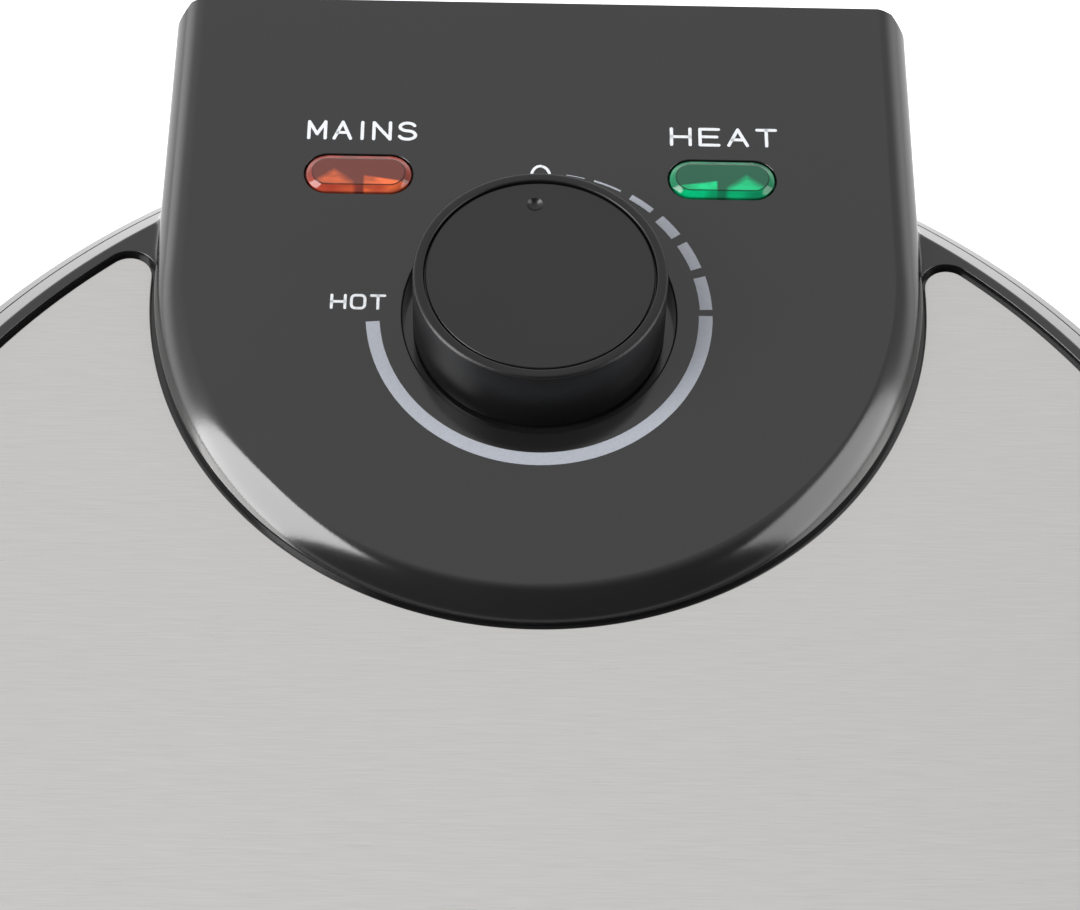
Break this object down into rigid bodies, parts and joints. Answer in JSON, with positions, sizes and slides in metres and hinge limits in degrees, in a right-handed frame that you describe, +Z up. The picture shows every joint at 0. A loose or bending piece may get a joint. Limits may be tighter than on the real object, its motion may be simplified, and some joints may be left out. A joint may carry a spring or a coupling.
{
  "type": "waffle maker",
  "caption": "Round closed waffle maker with a brushed steel lid, a raised D-shaped control panel with one large dial and two lenses, and a floating hinge.",
  "frame": {"origin": "on the table, under the middle of the object's outline", "axes": "+Y from the handles to the hinge, +Z up, +X to the right as seen from the handles"},
  "size_m": [0.216, 0.2959, 0.103],
  "materials": {
    "shell_plastic": "satin, moulded, dark charcoal",
    "cap_plastic": "satin",
    "grip_plastic": "fine texture, black",
    "gland_plastic": "fine texture, black",
    "foot_rubber": "matt",
    "brushed_cover": "brushed along X",
    "nonstick": "die cast, non-stick coating",
    "sheet_steel": "aluminised sheet",
    "heater_sheath": "oxidised tube",
    "screw_steel": "zinc plated",
    "brass": "turned",
    "ceramic": "unglazed",
    "nylon": "natural nylon",
    "wire_sleeve": "braided glass fibre",
    "fuse_case": "drawn",
    "lamp_glass": "clear, slightly warm",
    "red_lens": "translucent red acrylic",
    "green_lens": "translucent green acrylic"
  },
  "bodies": {
    "base": {"base_shell": "shell_plastic", "base_cover": "shell_plastic", "cover_screws": "screw_steel", "foot_front_left": "foot_rubber", "foot_front_right": "foot_rubber", "foot_rear_left": "foot_rubber", "foot_rear_right": "foot_rubber", "lower_grid_plate": "nonstick", "lower_grid_studs": "nonstick", "lower_heating_element": "heater_sheath", "lower_reflector": "sheet_steel", "lower_reflector_screws": "screw_steel", "lower_plate_screws": "screw_steel", "lower_handle": "grip_plastic", "lower_handle_screws": "screw_steel", "terminal_block": "ceramic", "cord_gland": "gland_plastic", "base_wiring": "wire_sleeve"},
    "hinge_bushes": {"hinge_bush_left": "nylon", "hinge_bush_right": "nylon"},
    "lid": {"hinge_pin_left": "screw_steel", "hinge_pin_right": "screw_steel", "lid_shell": "shell_plastic", "steel_cover": "brushed_cover", "power_lens": "red_lens", "ready_lens": "green_lens", "power_lamp": "lamp_glass", "ready_lamp": "lamp_glass", "power_lamp_holder": "nylon", "ready_lamp_holder": "nylon", "upper_grid_plate": "nonstick", "upper_grid_studs": "nonstick", "upper_heating_element": "heater_sheath", "upper_reflector": "sheet_steel", "upper_reflector_screws": "screw_steel", "upper_plate_screws": "screw_steel", "upper_handle": "grip_plastic", "upper_handle_screws": "screw_steel", "thermostat_body": "ceramic", "thermostat_bracket": "sheet_steel", "thermostat_nut": "brass", "thermal_fuse": "fuse_case", "fuse_clip": "sheet_steel", "lid_wiring": "wire_sleeve", "wiring_splice": "ceramic"},
    "dial": {"thermostat_spindle": "brass", "knob": "grip_plastic", "knob_cap": "cap_plastic"}
  },
  "joints": [
    {"name": "hinge_float", "type": "slide", "parent": "base", "child": "hinge_bushes", "axis": [0, 0, 1], "range_m": [0, 0.004]},
    {"name": "lid_hinge", "type": "hinge", "parent": "hinge_bushes", "child": "lid", "pos_m": [0, 0.1335, 0.046], "axis": [-1, 0, 0], "range_deg": [0, 100]},
    {"name": "knob_turn", "type": "hinge", "parent": "lid", "child": "dial", "pos_m": [0, 0.0833, 0.1], "axis": [0, 0, -1], "range_deg": [0, 270]}
  ]
}
